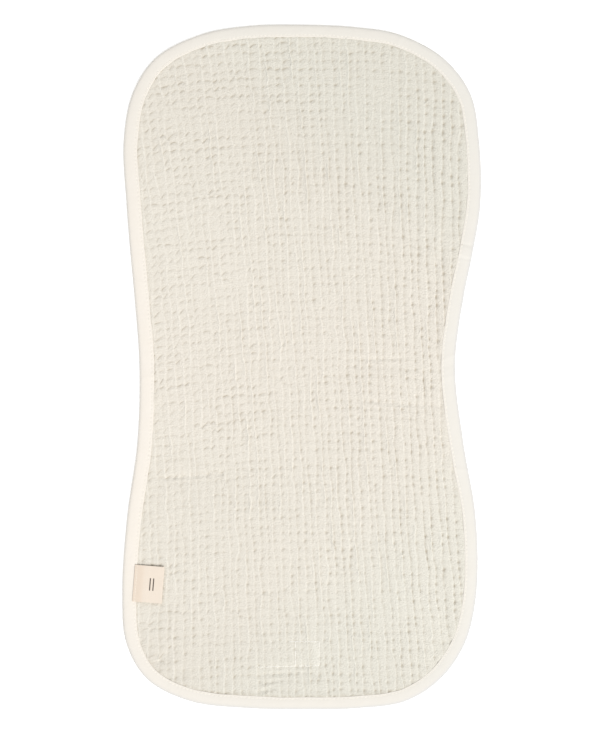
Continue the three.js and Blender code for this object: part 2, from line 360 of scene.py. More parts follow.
def lie(rib, row):
    """Where a point of the crinkled cloth lies: the meeting place of its rib and row, both wobbling. Near a
    row the row also follows a stroke through each dimple: it rises over `half` of a pitch on either side and
    falls back over the rest."""
    side = ribbed(*meet(rib, row))
    aside = (WOBBLE["slow"] * (2 * uneven("slow wobble", rib, row, rows=3) - 1)
             + WOBBLE["quick"] * (2 * uneven("quick wobble", rib, row) - 1))
    aside = aside * (1 - WOBBLE["right_less"] * side)
    off, up = from_dimple(rib, side), from_nearest(row)
    half = STROKE["half"]
    stroke = np.where(np.abs(off) < half, off, np.sign(off) * half * (0.5 - np.abs(off)) / (0.5 - half))
    slant = STROKE["slant"] * (0.1 + 1.8 * uneven("slant", rib, row)) * (1 - STROKE["right_less"] * side)
    near_row = 1 - smoothstep(np.abs(up), 0.1, 0.5)
    jump = WOBBLE["jump"] * (2 * uneven("jump", rib, row) - 1)
    return meet(rib + aside, row + jump + slant * stroke * near_row)


# %% [markdown]
# ## The relief of one crinkle
#
# Seen close, each rib has a thin raised ridge, with a narrow groove just to its right and then a low pillow up
# to the next ridge. Where the gauzes are joined there is a small dark dimple. At the right of this cloth the
# ridges and grooves run on, and the dimples are dots in the grooves. At the left the ridges are faint and
# broken, and the dimples are short dashes half way between two of them.
#
# Each feature is a bell curve across its rib or row, times a gain. The gain varies from cell to cell and from
# zone to zone. Last, 26 patches are made more crinkled or calmer than the cloth around them. They were chosen
# from how strong the crinkle measured in the photograph and in this picture, in squares of 26 mm.
# Grooves, pinches and dimples are also darkened in colour, a painted shade, and the ridges and pillows are
# painted paler.

# %% Ridges, grooves, pillows and dimples
RIDGE = {"wide": 0.078, "high": 0.36, "cut_by_row": 0.3, "row_wide": 0.2}
GROOVE = {"wide": (0.15, 0.11), "deep": 0.3}
PILLOW = {"from": 0.28, "to": 0.97, "high": 0.26}
PINCH = {"wide": 0.11, "deep": 0.1}
# at the left and at the right: half width and half height as shares of a pitch, depth, and how square it is
DIMPLE = {"wide": (0.3, 0.115), "tall": (0.085, 0.16), "deep": (0.42, 1.0), "square": (3.5, 2.0)}
# how strong each feature is: the sum of its share of every zone
BY_ZONE = {
    "ridge": {"all": 1.1, "far_right": 0.05, "far_left": -0.3},
    "groove": {"all": 0.4, "ribbed": 0.45, "far_right": 0.15},
    "dimple": {"all": 1, "far_right": 0.3, "foot": -0.12, "head_left": 0.15},
    "pinch": {"all": 1, "ribbed": -0.3, "head_left": 0.5},
    "pillow": {"all": 0.4, "ribbed": 0.4, "far_right": 0.3}}
# how much shade each feature paints into the cloth's colour: painted shade in the grooves and pinches, painted
# light on the ridges and pillows
SHADE_PAINTED = {"groove": 0.45, "pinch": 0.12, "ridge": 0.35, "pillow": 0.06, "least": -0.3}
# x, y, reach along x, reach along y, share: patches that are more crinkled than around them, or calmer
STRONGER = np.array([
    (2, 222, 42, 16, 0.6), (60, 205, 17, 24, -0.45), (-98, 152, 15, 20, 0.5), (-72, 166, 15, 13, 0.5),
    (-46, 180, 16, 24, -0.4), (10, 170, 16, 12, -0.3), (86, 167, 14, 14, 0.45), (-2, 140, 34, 12, 0.4),
    (-46, 72, 14, 20, -0.35), (38, 66, 16, 18, -0.4), (-46, 35, 14, 13, 0.45), (-70, 35, 12, 13, -0.3),
    (56, 35, 14, 12, 0.4), (14, 9, 18, 13, -0.4), (87, 9, 10, 12, -0.35), (61, -17, 12, 13, -0.45),
    (87, -19, 12, 14, 0.5), (-46, -42, 20, 15, 0.6), (87, -70, 12, 13, -0.45), (24, -82, 22, 22, 0.4),
    (-19, -96, 14, 14, 0.35), (34, -134, 13, 22, 0.3), (-55, -124, 50, 14, -0.25), (-2, -146, 20, 18, -0.25),
    (34, -201, 14, 13, 0.45), (-98, -190, 14, 18, 0.35)], float)


def bell(value, wide):
    """The bell curve exp(-(value / wide)^2)."""
    return np.exp(-(value / wide) ** 2)


def zones(x, y):
    """How much a place belongs to each zone of the cloth, from 0 to 1. A zone fades in or out between the two
    distances in its smoothstep, in millimetres from the middle of the cloth."""
    return {"all": 1, "ribbed": ribbed(x, y), "far_left": 1 - smoothstep(x, -100, -25),
            "far_right": smoothstep(x, 55, 95) * (1 - smoothstep(np.abs(y), 170, 220)),
            "foot": smoothstep(-y, 40, 120),
            "head_left": smoothstep(y, 130, 200) * (1 - smoothstep(x, -40, 50))}


def strength_at(x, y):
    """How strong the crinkle is at a place: 1, plus share * exp(-(dx / reach)^2 - (dy / reach)^2) for each of
    the patches, where dx and dy are measured from its middle."""
    return 1 + sum(share * bell(x - middle_x, far_x) * bell(y - middle_y, far_y)
                   for middle_x, middle_y, far_x, far_y, share in STRONGER)


def crinkle(rib, row, x, y):
    """The height of the crinkle over its ground in millimetres, and the painted shade of its colour, from -0.3
    on the ridges, which are painted paler, up to 1 in the deepest dimples. Each gain is a least value plus a
    share of its own unevenness, times what its zones give."""
    zone = zones(x, y)
    side = zone["ribbed"]
    gain = {name: sum(share * zone[key] for key, share in shares.items())
            for name, shares in BY_ZONE.items()}
    gain["ridge"] *= ((0.25 + 1.25 * uneven("ridge", rib, row, rows=4) ** 2)
                      * (0.5 + uneven("ridge in a cell", rib, row)))
    gain["groove"] *= ((0.2 + 0.75 * uneven("groove", rib, row, rows=5))
                       * (0.5 + uneven("groove in a cell", rib, row)))
    mixed = 0.4 * uneven("patch", rib, row, ribs=4, rows=3) + 0.6 * uneven("dimple", rib, row)
    gain["dimple"] *= 0.2 + 0.75 * smoothstep(mixed, 0.25, 0.95)
    gain["pinch"] *= 0.2 + 1.5 * uneven("pinch", rib, row, ribs=2) ** 2
    gain["pillow"] *= 0.3 + 0.9 * uneven("pillow", rib, row, rows=6)

    narrow, wide, tall, deep, square = (at_left + (at_right - at_left) * side for at_left, at_right in
                                        (GROOVE["wide"], *DIMPLE.values()))
    wide = wide * (0.6 + 0.7 * uneven("dimple width", rib, row))
    up = from_nearest(row)
    ridge = bell(from_nearest(rib), RIDGE["wide"]) * gain["ridge"]
    groove = bell(from_nearest(rib - GROOVE_AT), narrow) * gain["groove"]
    share = np.clip((rib - np.floor(rib) - PILLOW["from"]) / (PILLOW["to"] - PILLOW["from"]), 0, 1)
    pillow = np.sin(np.pi * share) ** 2 * gain["pillow"]
    pinch = bell(up, PINCH["wide"]) * gain["pinch"]
    dimple = np.exp(-np.abs(from_dimple(rib, side) / wide) ** square) * bell(up, tall) * gain["dimple"]
    height = (RIDGE["high"] * ridge * (1 - RIDGE["cut_by_row"] * bell(up, RIDGE["row_wide"]))
              - GROOVE["deep"] * groove + PILLOW["high"] * pillow - PINCH["deep"] * pinch - deep * dimple)
    painted_shade = (SHADE_PAINTED["groove"] * groove + dimple + SHADE_PAINTED["pinch"] * pinch - SHADE_PAINTED["ridge"] * ridge
              - SHADE_PAINTED["pillow"] * pillow)
    strength = strength_at(x, y)
    return height * strength, np.clip(painted_shade * strength, SHADE_PAINTED["least"], 1)


# %% [markdown]
# ## Creases, swells and the sewn patch
#
# Over the crinkle the cloth has soft creases where it was folded and smoothed out again, a few short sharp
# wrinkles, and long waves in which it swells and sinks. Each crease or wrinkle is a trough with a middle, a
# direction and a size, placed where the photograph shows one. Near the foot a small rectangle is sewn
# through the plies, which presses them flatter. Close to the tape the sewing gathers the cloth into little
# puckers.

# %% Shape the ground under the crinkle
# x, y, degrees from +X, length, half width, depth
CREASES = np.array([
    (93, 140, 91, 120, 3, 0.6), (82, 118, 92, 80, 3, 0.5), (104, 95, 78, 70, 3, 0.5),
    (56, 2, -2, 46, 6, 0.5), (84, -28, -5, 60, 6, 0.4), (-82, -81, 4, 70, 6, 0.4),
    (26, -155, 101, 36, 3, 0.5), (60, -156, 98, 36, 3, 0.5), (101, -166, 99, 76, 3, 0.6),
    (-103, -214, 36, 26, 5, 0.6), (-92, -225, 33, 22, 5, 0.5), (-8, -224, 4, 56, 5, 0.5)], float)
# the same for short sharp wrinkles, each with a raised lip on its foot side
WRINKLES = np.array([
    (-10, -219.4, 2, 42, 0.9, 0.5), (-15.5, -224, 4, 27, 1.0, 0.6), (-25.5, -230.6, 10, 21, 1.0, 0.55),
    (-26.5, -236, 16, 18, 1.1, 0.6), (-107.5, -209.5, 45, 9, 0.8, -0.8), (-106, -214, 45, 9, 0.8, -0.8),
    (-111, -212, -62, 6, 0.8, -0.6), (-44, 17, 4, 9, 0.8, 0.4), (64, 6, 2, 36, 1.0, 0.6),
    (68, -27, -4, 60, 1.0, 0.45), (-80, -80, 4, 54, 0.9, 0.7), (-80, 112, 14, 60, 1.0, 0.3),
    (-92, 172, 16, 30, 1.0, 0.3)], float)
LIP = 0.5
# height, reach along x, reach along y, shift
SWELLS = np.array([(0.09, 23, 61, 0), (0.07, -90, 37, 1)], float)
PATCH = {"left": -32.5, "right": 12.6, "foot": -217.9, "head": -200.4, "strip": 4.6, "strip_high": 0.14,
         "pressed": 0.35, "strip_pressed": 0.45, "strip_paler": 0.12}
SEAM_DENT = {"wide": 0.8, "deep": 0.2, "wide_under": 1.3, "deep_under": 0.6}
LABEL = {"x": -111.9, "y": -158.4, "width": 21.4, "height": 26.8, "turn": -4.5, "thick": 0.26, "low": 3.22}


def seen_from(x, y, middle, degrees):
    """A place seen from a middle, in directions turned by some degrees: how far along, and how far across."""
    turn = math.radians(degrees)
    along = (x - middle[0]) * math.cos(turn) + (y - middle[1]) * math.sin(turn)
    across = (y - middle[1]) * math.cos(turn) - (x - middle[0]) * math.sin(turn)
    return along, across


def dented(x, y, dents, lip=0):
    """The depth of all the dents of a table at a place. Each is depth * exp(-(2 along / length)^4) times the
    bell exp(-(across / half width)^2), less a share of the same bell moved two half widths towards the foot,
    which raises a lip there."""
    total = np.zeros_like(x)
    for middle_x, middle_y, degrees, long, wide, deep in dents:
        along, across = seen_from(x, y, (middle_x, middle_y), degrees)
        shape = bell(across, wide) - lip * bell(across + 2 * wide, wide)
        total += deep * np.exp(-(2 * along / long) ** 4) * shape
    return total


def swelling(x, y):
    """The sum of the long waves, each height * sin(x / reach_x + y / reach_y + shift)."""
    return sum(high * np.sin(x / far_x + y / far_y + shift) for high, far_x, far_y, shift in SWELLS)


def from_box(x, y, middle, size, degrees=0):
    """How far a place is outside a turned rectangle, in millimetres, and below 0 inside it: the larger of how
    far it is past the ends and past the sides."""
    along, across = seen_from(x, y, middle, degrees)
    return np.maximum(np.abs(along) - size[0] / 2, np.abs(across) - size[1] / 2)


def from_patch(x, y):
    """How far a place is outside the sewn rectangle."""
    middle = ((PATCH["left"] + PATCH["right"]) / 2, (PATCH["foot"] + PATCH["head"]) / 2)
    return from_box(x, y, middle, (PATCH["right"] - PATCH["left"], PATCH["head"] - PATCH["foot"]))


# %% [markdown]
# ## The face ply
#
# The face that the camera sees is its own sheet, so that it can have fine ribs. Its points follow the ribs and
# rows: six to a rib, close together at the ridge and the groove and further apart on the pillow, and five to
# a row. A plain even grid would need twice as many for the same crispness. Squares wholly inside the cloth are
# kept. Their ragged outer line is carried out and down under the tape, and one face underneath closes the
# sheet. That line is made of the square sides that only one square has. It is put in order by doubling: once
# the first n steps are known, one jump of n from each gives the next n.

# %% Build sheets that follow the crinkle
RIB_REACH = 25
ROW_REACH = 46
KEPT_IN = 7.8
RIM_IN = 1.6
RIM_RAGGED = 0.15
FACE_SAMPLES = ([0, 0.1, 0.2, 0.32, 0.6, 0.88], [0, 0.13, 0.35, 0.62, 0.87])
BACK_SAMPLES = ([0, 0.2, 0.45, 0.75], [0, 0.3, 0.7])
SHARP_FROM = 60


def spread_out(samples, reach):
    """The samples of one pitch, repeated from -reach to reach."""
    return (np.arange(-reach, reach)[:, None] + np.array(samples)).ravel()


def crinkle_grid(samples):
    """The kept points of a grid of ribs and rows, the squares between them, and the outer line in order."""
    rib, row = np.meshgrid(spread_out(samples[0], RIB_REACH), spread_out(samples[1], ROW_REACH), indexing="ij")
    x, y = lie(rib, row)
    depth, station = depth_in(np.column_stack([x.ravel(), y.ravel()]))
    number = np.arange(rib.size).reshape(rib.shape)
    corners = [number[:-1, :-1], number[1:, :-1], number[1:, 1:], number[:-1, 1:]]
    squares = np.stack(corners, axis=-1).reshape(-1, 4)
    squares = squares[(depth[squares] > KEPT_IN).all(axis=1)]
    used, squares = np.unique(squares, return_inverse=True)
    squares = squares.reshape(-1, 4)
    sides = np.column_stack([squares.ravel(), np.roll(squares, -1, axis=1).ravel()])
    one_way, back_again = sides @ (len(used), 1), sides @ (1, len(used))
    outer = sides[~np.isin(one_way, back_again)]
    jump = np.full(len(used), -1)
    jump[outer[:, 0]] = outer[:, 1]
    order = outer[:1, 0]
    while len(order) < len(outer):
        order = np.concatenate([order, jump[order]])
        jump = jump[jump]
    flat = {"rib": rib.ravel()[used], "row": row.ravel()[used], "x": x.ravel()[used], "y": y.ravel()[used],
            "depth": depth[used], "station": station[used]}
    return flat, squares, order[:len(outer)]


def band(first, second):
    """Squares between two closed rings of point numbers, each facing outwards where the second ring is outside
    or below the first."""
    return np.column_stack([np.roll(first, -1), first, second, np.roll(second, -1)])


def make_piece(name, points, faces, finish, points_data=None, uv=None):
    """A mesh object at the origin. Points are in millimetres, and faces is a list of whole-number arrays with
    one face a row. Values for each point become attributes, and uv is one pair for each point."""
    corners = np.concatenate([f.ravel() for f in faces]).astype(np.int32)
    sizes = np.concatenate([np.full(len(f), f.shape[1]) for f in faces])
    mesh = bpy.data.meshes.new(name)
    mesh.vertices.add(len(points))
    mesh.vertices.foreach_set("co", (points * MM).astype(np.float32).ravel())
    mesh.loops.add(len(corners))
    mesh.loops.foreach_set("vertex_index", corners)
    mesh.polygons.add(len(sizes))
    mesh.polygons.foreach_set("loop_start", np.concatenate([[0], np.cumsum(sizes)[:-1]]).astype(np.int32))
    mesh.update(calc_edges=True)
    mesh.shade_smooth()
    mesh.set_sharp_from_angle(angle=math.radians(SHARP_FROM))
    for key, values in (points_data or {}).items():
        mesh.attributes.new(key, "FLOAT", "POINT").data.foreach_set("value", values.astype(np.float32))
    if uv is not None:
        layer = mesh.uv_layers.new(name="cloth")
        layer.data.foreach_set("uv", uv[corners].astype(np.float32).ravel())
    mesh.materials.append(finish)
    piece = bpy.data.objects.new(name, mesh)
    scene.collection.objects.link(piece)
    print(name, "has", int((sizes - 2).sum()), "triangles, from", points.min(axis=0).round(2), "to",
          points.max(axis=0).round(2), "mm")
    return piece


def closed_ply(name, grid, squares, order, heights, far_height, up, finish, data):
    """A sheet with relief on one side and a flat other side. Its outer line slopes out to a rim inside the
    tape, at far_height, where one face closes it. up is 1 where the relief looks up, and -1 where it looks
    down, which turns every face round."""
    depth, station = grid["depth"][order], grid["station"][order]
    out = depth - (RIM_IN + RIM_RAGGED * (depth - KEPT_IN))
    plan = np.column_stack([grid["x"], grid["y"]])
    rim = plan[order] - inward[station] * out[:, None]
    count, around = len(plan), len(order)
    points = np.column_stack([np.vstack([plan, rim]), np.append(heights, np.full(around, far_height))])
    rim_line = count + np.arange(around)
    faces = [np.vstack([squares, band(order, rim_line)]), rim_line[None, ::-1]]
    if up < 0:
        faces = [f[:, ::-1] for f in faces]
    source = np.concatenate([np.arange(count), order])
    uv = np.column_stack([grid["rib"], grid["row"]])[source]
    carried = {key: values[source] for key, values in data.items()}
    return make_piece(name, points, faces, finish, carried, uv)


# %% [markdown]
# ## Crinkled cotton gauze
#
# The face is undyed cotton, woven loosely and washed, so it is matt and very pale cream. Shade is painted into
# its colour: palest on its ridges, and slightly warmer and darker in its hollows, a painted shade for the light
# that bounces from cloth to cloth there. Gauze threads lie about 0.6 mm apart, nine to a rib and ten to a row.
# That is finer than a pixel of this picture, so the weave only shows close up. What shows from further off is
# the uneven spun yarn, as specks of about 1.3 mm, rougher towards the right, so those are drawn as well, both
# as colour and as a slight bump.
#
# The tone drifts slowly, as the photograph's does: a little pinker at the waist, greyer at the head, the foot
# and the lower left, lighter at the right below the waist, and a pale grey-green in the right-hand corners.
# Each drift is a share that grows smoothly between two places, and each colour is mixed in by its share.

# %% Finish the gauze
THREADS = (9.0, 10.0)
SPECK = 1.3
CORNER_SLOPE = 0.83
# what each drift reads, the two places between which it changes, in metres, and its share at each of them.
# way_up is the distance up or down from the waist, and corner_way grows towards the right-hand corners
GAUZE_DRIFTS = {
    "waist": ("way_up", 0.12, 0.0, 0.0, 0.7), "head": ("Y", 0.06, 0.24, 0.0, 0.5),
    "head_across": ("X", -0.07, 0.05, 0.5, 1.0), "foot": ("Y", -0.16, -0.22, 0.0, 0.2),
    "low": ("Y", -0.04, -0.1, 0.0, 0.12), "left": ("X", 0.03, -0.03, 0.0, 1.0),
    "corner": ("corner_way", 0.13, 0.23, 0.0, 0.5), "below_waist": ("Y", 0.05, -0.02, 0.0, 0.14),
    "right": ("X", 0.055, 0.095, 0.0, 1.0)}


def plain_weave(tree, place, turns):
    """The height of a plain weave at a place: sin(x * first turn) * sin(y * second turn)."""
    split = add_node(tree, "SeparateXYZ", {"Vector": place})
    angles = [add_node(tree, "Math", {0: split.outputs[axis], 1: turn}, operation="MULTIPLY")
              for axis, turn in zip(("X", "Y"), turns)]
    waves = [add_node(tree, "Math", {0: angle.outputs[0]}, operation="SINE").outputs[0] for angle in angles]
    return add_node(tree, "Math", {0: waves[0], 1: waves[1]}, operation="MULTIPLY").outputs[0]


def gauze_finish(name):
    """Undyed cotton gauze, woven and washed until it crinkles."""
    made, tree, shader = new_finish(name, Roughness=0.93, IOR=1.5, Specular_IOR_Level=0.25, Sheen_Weight=0.15,
                                    Sheen_Roughness=0.6)
    object_place = add_node(tree, "TexCoord").outputs["Object"]
    place = add_node(tree, "SeparateXYZ", {"Vector": object_place}).outputs
    way_up = add_node(tree, "Math", {0: place["Y"]}, operation="ABSOLUTE").outputs[0]
    corner_way = add_node(tree, "Math", {0: place["X"], 1: CORNER_SLOPE, 2: way_up}, operation="MULTIPLY_ADD")
    ways = {"X": place["X"], "Y": place["Y"], "way_up": way_up, "corner_way": corner_way.outputs[0]}
    drift = {key: add_node(tree, "MapRange", {"Value": ways[way], "From Min": start, "From Max": end,
                                              "To Min": least, "To Max": most},
                           interpolation_type="SMOOTHSTEP").outputs["Result"]
             for key, (way, start, end, least, most) in GAUZE_DRIFTS.items()}
    ends = add_node(tree, "Math", {0: drift["head"], 1: drift["head_across"], 2: drift["foot"]},
                    operation="MULTIPLY_ADD").outputs[0]
    greyed = add_node(tree, "Math", {0: drift["low"], 1: drift["left"], 2: ends},
                      operation="MULTIPLY_ADD").outputs[0]
    lighter = add_node(tree, "Math", {0: drift["below_waist"], 1: drift["right"]},
                       operation="MULTIPLY").outputs[0]

    specks = add_node(tree, "TexNoise", {"Vector": object_place, "Scale": 1 / (SPECK * MM), "Detail": 3.0,
                                         "Roughness": 0.65}).outputs["Fac"]
    speckled = add_node(tree, "MapRange", {"Value": specks, "From Min": 0.3, "From Max": 0.7, "To Min": 0.11,
                                           "To Max": 0.33}).outputs["Result"]
    # painted shade from the crinkle's hollows and beside the tape and the label, together with the yarn's
    # specks, darkens the colour towards a5977f
    painted_shade = add_node(tree, "Attribute", attribute_name="painted_shade").outputs["Fac"]
    deep = add_node(tree, "Math", {0: painted_shade, 1: speckled}, operation="ADD").outputs[0]
    shade_and_specks = add_node(tree, "Math", {0: deep, 1: 0.5}, operation="MULTIPLY", use_clamp=True).outputs[0]

    tone = add_node(tree, "TexNoise", {"Vector": object_place, "Scale": 18.0, "Detail": 1.0}).outputs["Fac"]
    colour = add_node(tree, "Mix", {0: tone, 6: linear("f1ece2"), 7: linear("efebe1")}, data_type="RGBA")
    for share, code in ((drift["waist"], "f1ebe1"), (greyed, "dcd7cd"), (drift["corner"], "e9e9df"),
                        (lighter, "faf6ec"), (shade_and_specks, "a5977f")):
        colour = add_node(tree, "Mix", {0: share, 6: colour.outputs[2], 7: linear(code)}, data_type="RGBA")
    tree.links.new(colour.outputs[2], shader.inputs["Base Color"])

    cloth_place = add_node(tree, "UVMap", uv_map="cloth").outputs["UV"]
    weave = plain_weave(tree, cloth_place, [2 * math.pi * threads for threads in THREADS])
    woven = add_node(tree, "Bump", {"Height": weave, "Strength": 0.35, "Distance": 0.08 * MM})
    rougher = add_node(tree, "MapRange", {"Value": place["X"], "From Min": -0.12, "From Max": 0.12,
                                          "To Min": 0.78, "To Max": 1.0}).outputs["Result"]
    spun = add_node(tree, "Bump", {"Height": specks, "Strength": rougher, "Distance": 0.88 * MM,
                                   "Normal": woven.outputs["Normal"]})
    tree.links.new(spun.outputs["Normal"], shader.inputs["Normal"])
    return made


muslin = gauze_finish("crinkled_cotton_gauze")

# %% [markdown]
# ## Lay the two plies
#
# The face ply's ground lies a little over two millimetres up, its crinkle rises and falls around that, and it
# flattens where it slides under the tape. The back ply is the same cloth seen from below. It rests on the
# surface, so its pillows are pressed flat and only its grooves and dimples lift away. The record's one panel
# is thus two real sheets, and both stand for that node.

# %% Let the tape's width vary
STITCH_IN = 8.5
# x, y, extra width, reach along the edge: where the tape comes further in or less far in
TAPE_REACH = np.array([
    (-119, -30, 0.6, 170), (112, 0, 0.5, 90), (0, -250, -0.8, 110), (0, 250, -0.9, 120),
    (-105, -225, -0.5, 40), (122, -150, -0.5, 70)], float)
REACH_WAVER = {"wide": 0.4, "waves": 150}


def way_from(place):
    """How far each station is along the edge from the one nearest to a place, in millimetres."""
    gap = np.arange(STATIONS) - nearest(np.array([place], float), edge)[0]
    return ((gap + STATIONS / 2) % STATIONS - STATIONS / 2) * step


reach = REACH_WAVER["wide"] * (round_uneven("tape reach", np.arange(STATIONS), REACH_WAVER["waves"]) - 0.5)
reach += sum(extra * bell(way_from((x, y)), far) for x, y, extra, far in TAPE_REACH)
print("the tape reaches in by", reach.min().round(2), "to", reach.max().round(2), "mm more than in section")

# %% Raise the face ply
FACE = {"ground": 2.2, "lowest": 1.1, "highest": 3.0, "under_tape": 2.05, "underside": 1.0}
SHOULDER = (8.9, 10.3)
RIGHT_SIDE = (60, 100)
FOOT_MIDDLE = {"down": (200, 235), "out": (60, 90)}
PUCKER = {"high": 0.42, "waves": 200, "fade": 5.5, "slant": 0.9}
BANK = {"high": 0.3, "from": 10.0, "fade": 5.0}
# how much higher the lowest places are held beside the tape, and how much less shade is painted there at the
# right
HELD_UP = {"high": 1.15, "right": 0.12, "wide": 3}
CALMER = {"share": 0.5, "wide": 1.5}
# painted shadow lines beside the tape and the label, broken by the ribs and by the rows that run into them
TAPE_SHADOW_PAINT = {"deep": 0.19, "at": 10.1, "wide": 1.1, "right": -0.85, "foot": 1.8, "least": 0.4,
               "rib_wide": 0.3}
LABEL_SHADOW_PAINT = {"deep": 0.4, "at": 0.3, "wide": 1.0, "least": 0.4, "row_wide": 0.2}

grid, squares, order = crinkle_grid(FACE_SAMPLES)
x, y, rib, row = (grid[key] for key in ("x", "y", "rib", "row"))
rise, painted_shade = crinkle(rib, row, x, y)
inside = grid["depth"] - reach[grid["station"]]
at_right = smoothstep(x, *RIGHT_SIDE)
patch = from_patch(x, y)
strip_from = PATCH["right"] - PATCH["strip"]
strip = smoothstep(x, strip_from - 0.5, strip_from + 0.5) * smoothstep(-patch, -0.3, 0.5)
pressed = 1 - PATCH["pressed"] * smoothstep(-patch, -1, 1) - PATCH["strip_pressed"] * strip
dent = SEAM_DENT["deep"] * bell(patch, SEAM_DENT["wide"])
along_seam = grid["station"] + PUCKER["slant"] * inside / step
gathers = PUCKER["high"] * (round_uneven("gathers", along_seam, PUCKER["waves"]) - 0.5) * 2
gathers *= np.exp(-np.clip(inside - SHOULDER[0], 0, None) / PUCKER["fade"])
folds = dented(x, y, CREASES) + dented(x, y, WRINKLES, LIP)
bank = BANK["high"] * np.exp(-np.clip(inside - BANK["from"], 0, None) / BANK["fade"])
ground = FACE["ground"] + swelling(x, y) + bank - folds + gathers - dent
ground += PATCH["strip_high"] * strip
shoulder = smoothstep(inside, *SHOULDER)
heights = FACE["under_tape"] + (ground + rise * pressed - FACE["under_tape"]) * shoulder
held_up = (HELD_UP["high"] + HELD_UP["right"] * at_right) * bell(inside - SHOULDER[0], HELD_UP["wide"])
heights = np.clip(heights, FACE["lowest"] + held_up, FACE["highest"])

calmer = 1 - CALMER["share"] * at_right * bell(inside - SHOULDER[1], CALMER["wide"])
at_foot = smoothstep(-y, *FOOT_MIDDLE["down"]) * (1 - smoothstep(np.abs(x), *FOOT_MIDDLE["out"]))
tape_shadow_paint = TAPE_SHADOW_PAINT["deep"] * bell(inside - TAPE_SHADOW_PAINT["at"], TAPE_SHADOW_PAINT["wide"])
tape_shadow_paint *= 1 + TAPE_SHADOW_PAINT["right"] * at_right + TAPE_SHADOW_PAINT["foot"] * at_foot
tape_shadow_paint *= TAPE_SHADOW_PAINT["least"] + bell(from_nearest(rib - 0.5), TAPE_SHADOW_PAINT["rib_wide"])
label_size = (LABEL["width"], LABEL["height"])
from_label = from_box(x, y, (LABEL["x"], LABEL["y"]), label_size, LABEL["turn"])
label_shadow_paint = LABEL_SHADOW_PAINT["deep"] * bell(from_label - LABEL_SHADOW_PAINT["at"], LABEL_SHADOW_PAINT["wide"])
label_shadow_paint *= LABEL_SHADOW_PAINT["least"] + bell(from_nearest(row), LABEL_SHADOW_PAINT["row_wide"])
# the painted shade that the face's colour takes: the crinkle's own, eased beside the tape at the right, the
# painted shadows beside the tape and the label, and less on the raised strip of the sewn rectangle
shade_paint_total = painted_shade * pressed * shoulder * calmer + tape_shadow_paint + label_shadow_paint - PATCH["strip_paler"] * strip
face = closed_ply("muslin_face", grid, squares, order, heights, FACE["underside"], 1, muslin, {"painted_shade": shade_paint_total})
face_places = np.column_stack([x, y])
face_heights = heights
print("the face runs from", round(heights.min(), 2), "to", round(heights.max(), 2), "mm up")

# %% Lay the back ply
BACK = {"pressed": 0.3, "lifted": 0.75, "least": 0.01, "under_tape": 0.72, "topside": 0.95}

grid, squares, order = crinkle_grid(BACK_SAMPLES)
rise, painted_shade = crinkle(grid["rib"], grid["row"], grid["x"], grid["y"])
shoulder = smoothstep(grid["depth"], *SHOULDER)
seam_lift = SEAM_DENT["deep_under"] * bell(from_patch(grid["x"], grid["y"]), SEAM_DENT["wide_under"])
lift = np.clip(BACK["pressed"] - rise + seam_lift, 0, BACK["lifted"]) + BACK["least"]
heights = BACK["under_tape"] + (lift - BACK["under_tape"]) * shoulder
back = closed_ply("muslin_back", grid, squares, order, heights, BACK["topside"], -1, muslin,
                  {"painted_shade": painted_shade * shoulder})

for ply in (face, back):
    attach(ply, "root")
    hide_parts("muslin_panel")

# %% [markdown]
# ## The binding
#
# The raw edge is closed in a tape of smooth cotton, 38 mm wide when flat. Both its long edges are turned under
# and it is folded over the cloth's edge, so each side shows 9.5 mm of it, and one row of stitches near the
# inner edge goes through everything. The best way to make it is the way it is sewn: the tape's path in cross
# section, given a thickness and carried all the way round. The turned inner edge then is a real fold, which
# catches the light as the photograph shows. The stitches pull a shallow channel into the top.

# %% Fold the tape
TAPE_THICK = 0.24
# how far in from the edge, and how high: under the top leaf, round its fold, over the top, round the nose,
# along the bottom, round the lower fold and back in
TAPE_PATH = np.array([
    (1.6, 2.33), (4.7, 2.34), (8.0, 2.3), (9.3, 2.3), (9.7, 2.33), (9.9, 2.45), (9.82, 2.58), (9.5, 2.65),
    (9.1, 2.62), (8.5, 2.52), (7.9, 2.61), (7.1, 2.68), (5.3, 2.7), (3.4, 2.67), (2.0, 2.58), (1.0, 2.38),
    (0.4, 2.0), (0.13, 1.45), (0.4, 0.86), (1.0, 0.46), (2.0, 0.24), (4.4, 0.14), (7.4, 0.14), (8.5, 0.22),
    (9.4, 0.14), (9.75, 0.2), (9.82, 0.33), (9.55, 0.45), (9.0, 0.47), (5.0, 0.47), (1.6, 0.47)])


def thickened(path, thick):
    """A closed section: the path moved half its thickness to its left, then back along its right."""
    along = np.gradient(path, axis=0)
    along /= np.linalg.norm(along, axis=1, keepdims=True)
    left = np.column_stack([-along[:, 1], along[:, 0]]) * thick / 2
    return np.vstack([path + left, (path - left)[::-1]])


tape_section = thickened(TAPE_PATH, TAPE_THICK)
path_length = walked_along(TAPE_PATH)

# %% [markdown]
# ## What the sewing does to the tape
#
# The tape isn't a perfect moulding. Each stitch dips its top by a few hundredths of a millimetre, its inner
# edge wavers, and it wrinkles across where it turns inwards at the waist. On the right its two ends overlap in
# a short double-thick stretch with a folded end. All of these are small lifts added along the way round.

# %% Carry the tape round the edge
STATIONS_PER_STITCH = 3
OVERLAP = {"from": (124.0, 87.5), "to": (119.5, 80.0), "high": 0.3, "crease": 0.25}
STITCH_DIP = {"deep": 0.07, "wide": 1.1}
TAPE_WAVER = {"high": 0.1, "waves": 100}
# x, y, height, half width, slant: small wrinkles across the tape
TAPE_WRINKLES = np.array([
    (106.8, 6.5, 0.22, 1.3, 0.5), (108.6, 1.0, -0.16, 1.2, 0.4), (110.2, -7.0, 0.14, 1.6, 0.3),
    (120.6, -74.0, 0.16, 1.2, -0.3), (-118.5, -8.0, 0.1, 2.0, 0.3), (-121.0, 62.0, 0.12, 1.5, -0.4),
    (-60.0, 243.0, 0.1, 2.0, 0.4), (72.0, 240.0, 0.12, 1.8, -0.3), (-96.0, -234.0, 0.14, 1.6, 0.4),
    (88.0, -236.0, 0.1, 1.7, -0.4)], float)


